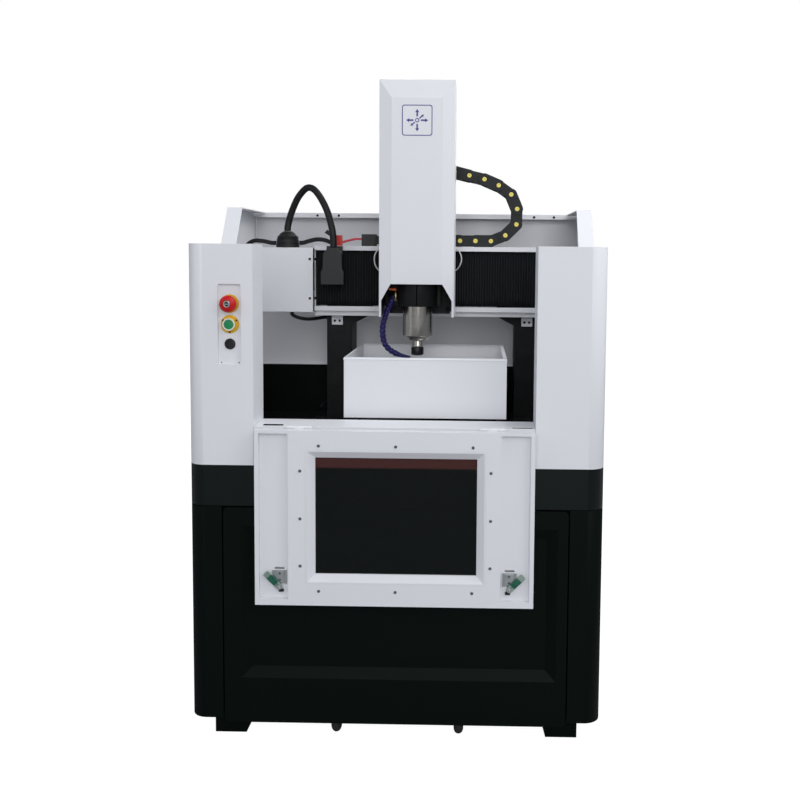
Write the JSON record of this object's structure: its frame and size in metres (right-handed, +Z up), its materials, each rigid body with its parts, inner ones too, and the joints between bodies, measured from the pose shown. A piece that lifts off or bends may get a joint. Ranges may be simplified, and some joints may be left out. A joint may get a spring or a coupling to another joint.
{
  "type": "cnc milling machine",
  "caption": "Enclosed gantry milling machine with a sliding table, travelling head, spindle, fold-down windowed door and control panel on a caster stand.",
  "frame": {"origin": "on the floor at the centre of the whole machine's footprint", "axes": "+X to the operator's right, +Y to the back, +Z up"},
  "size_m": [1, 0.792, 1.64],
  "materials": {
    "white_paint": "satin powder coat, fine texture",
    "black_paint": "satin black powder coat",
    "iron_black": "semi-gloss black enamel on castings",
    "two_tone_paint": "satin powder coat, white above, black below",
    "rail_steel": "ground steel",
    "motor_black": "matt black motor enamel",
    "bellows_cloth": "pleated coated cloth",
    "yellow_plastic": "moulded",
    "black_plastic": "moulded, fine grain",
    "cable_jacket": "smooth jacket",
    "zinc_steel": "zinc plated",
    "spindle_steel": "turned and ground",
    "dark_steel": "blackened steel",
    "clear_tube": "milky nylon tube",
    "hose_blue": "moulded segments",
    "table_aluminium": "milled, fine tool marks",
    "window_tint": "tinted polycarbonate",
    "red_plastic": "moulded, semi-gloss",
    "green_plastic": "moulded, semi-gloss",
    "chromate_steel": "green chromate",
    "tread_rubber": "moulded tread"
  },
  "bodies": {
    "base": {"stand_frame": "black_paint", "machine_bed": "iron_black", "gantry_legs": "iron_black", "gantry_beam": "iron_black", "left_side_panel": "black_paint", "right_side_panel": "black_paint", "front_access_panel": "black_paint", "rear_panel": "black_paint", "left_column": "two_tone_paint", "right_column": "two_tone_paint", "front_sill": "two_tone_paint", "left_hood_wall": "two_tone_paint", "right_hood_wall": "two_tone_paint", "rear_hood_wall": "white_paint", "linear_rails": "rail_steel", "axis_motors": "motor_black", "beam_end_cover": "white_paint", "bellows_channels": "white_paint", "bellows_left": "bellows_cloth", "bellows_right": "bellows_cloth", "control_plate": "white_paint", "legend_rings": "yellow_plastic", "cable_connectors": "black_plastic", "leads": "cable_jacket", "drag_chain": "black_plastic", "rear_caster_forks": "zinc_steel"},
    "x_carriage": {"z_backplate": "dark_steel", "x_blocks": "rail_steel", "z_rails": "rail_steel", "z_motor": "motor_black", "lube_tubes": "clear_tube", "head_cover": "white_paint"},
    "z_slide": {"spindle_mount": "iron_black", "z_blocks": "rail_steel", "spindle_body": "spindle_steel", "coolant_hose": "hose_blue"},
    "rotor": {"spindle_shaft": "spindle_steel", "collet_nut": "dark_steel"},
    "table": {"saddle": "iron_black", "y_blocks": "rail_steel", "work_tank": "white_paint", "slotted_table": "table_aluminium"},
    "door": {"door_panel": "white_paint", "window_frame": "white_paint", "door_window": "window_tint", "latch_bodies": "zinc_steel"},
    "lever_left": {"latch_lever_left": "chromate_steel"},
    "lever_right": {"latch_lever_right": "chromate_steel"},
    "estop_button": {"estop_plunger": "zinc_steel"},
    "estop_cap": {"estop_head": "red_plastic"},
    "start_button": {"start_button": "green_plastic"},
    "x_drive_screw": {"x_screw": "rail_steel"},
    "y_drive_screw": {"y_screw": "rail_steel"},
    "z_drive_screw": {"z_screw": "rail_steel"},
    "caster_left": {"front_left_fork": "zinc_steel"},
    "caster_left_wheel": {"front_left_wheel": "tread_rubber"},
    "caster_right": {"front_right_fork": "zinc_steel"},
    "caster_right_wheel": {"front_right_wheel": "tread_rubber"},
    "rear_caster_left_wheel": {"rear_left_wheel": "tread_rubber"},
    "rear_caster_right_wheel": {"rear_right_wheel": "tread_rubber"}
  },
  "joints": [
    {"name": "x_slide", "type": "slide", "parent": "base", "child": "x_carriage", "axis": [1, 0, 0], "range_m": [-0.075, 0.165], "deforming": ["bellows_left", "bellows_right", "drag_chain"]},
    {"name": "z_slide", "type": "slide", "parent": "x_carriage", "child": "z_slide", "axis": [0, 0, -1], "range_m": [0, 0.1]},
    {"name": "spindle_spin", "type": "hinge", "parent": "z_slide", "child": "rotor", "pos_m": [0.028, 0.006, 1], "axis": [0, 0, 1], "continuous": true},
    {"name": "y_slide", "type": "slide", "parent": "base", "child": "table", "axis": [0, 1, 0], "range_m": [-0.09, 0.17]},
    {"name": "door_hinge", "type": "hinge", "parent": "base", "child": "door", "pos_m": [0, -0.364, 0.7695], "axis": [-1, 0, 0], "range_deg": [0, 180]},
    {"name": "latch_turn_left", "type": "hinge", "parent": "door", "child": "lever_left", "pos_m": [-0.274, -0.393, 0.391], "axis": [0, -1, 0], "range_deg": [-45, 20]},
    {"name": "latch_turn_right", "type": "hinge", "parent": "door", "child": "lever_right", "pos_m": [0.274, -0.393, 0.391], "axis": [0, -1, 0], "range_deg": [-20, 45]},
    {"name": "estop_press", "type": "slide", "parent": "base", "child": "estop_button", "axis": [0, 1, 0], "range_m": [0, 0.006], "stiffness_N_per_m": 800},
    {"name": "estop_twist", "type": "hinge", "parent": "estop_button", "child": "estop_cap", "pos_m": [-0.396, -0.369, 1.0625], "axis": [0, 1, 0], "range_deg": [0, 45], "stiffness_Nm_per_rad": 0.03},
    {"name": "start_press", "type": "slide", "parent": "base", "child": "start_button", "axis": [0, 1, 0], "range_m": [0, 0.003], "stiffness_N_per_m": 800},
    {"name": "x_screw_spin", "type": "hinge", "parent": "base", "child": "x_drive_screw", "pos_m": [0.062, 0.175, 1.1175], "axis": [1, 0, 0], "range_deg": [-2701, 5941]},
    {"name": "y_screw_spin", "type": "hinge", "parent": "base", "child": "y_drive_screw", "pos_m": [0.062, 0.04, 0.716], "axis": [0, 1, 0], "range_deg": [-3241, 6121]},
    {"name": "z_screw_spin", "type": "hinge", "parent": "x_carriage", "child": "z_drive_screw", "pos_m": [0.028, 0.077, 1.3], "axis": [0, 0, -1], "range_deg": [-1, 7201]},
    {"name": "left_caster_swivel", "type": "hinge", "parent": "base", "child": "caster_left", "pos_m": [-0.147, -0.296, 0.08], "axis": [0, 0, 1], "continuous": true},
    {"name": "left_caster_roll", "type": "hinge", "parent": "caster_left", "child": "caster_left_wheel", "pos_m": [-0.147, -0.314, 0.0315], "axis": [1, 0, 0], "continuous": true},
    {"name": "right_caster_swivel", "type": "hinge", "parent": "base", "child": "caster_right", "pos_m": [0.155, -0.296, 0.08], "axis": [0, 0, 1], "continuous": true},
    {"name": "right_caster_roll", "type": "hinge", "parent": "caster_right", "child": "caster_right_wheel", "pos_m": [0.155, -0.314, 0.0315], "axis": [1, 0, 0], "continuous": true},
    {"name": "rear_left_roll", "type": "hinge", "parent": "base", "child": "rear_caster_left_wheel", "pos_m": [-0.147, 0.316, 0.0315], "axis": [1, 0, 0], "continuous": true},
    {"name": "rear_right_roll", "type": "hinge", "parent": "base", "child": "rear_caster_right_wheel", "pos_m": [0.155, 0.316, 0.0315], "axis": [1, 0, 0], "continuous": true}
  ],
  "couplings": [
    {"joint": "x_screw_spin", "follows": "x_slide", "rad_per_m": 628.32},
    {"joint": "y_screw_spin", "follows": "y_slide", "rad_per_m": 628.32},
    {"joint": "z_screw_spin", "follows": "z_slide", "rad_per_m": 1256.6}
  ]
}
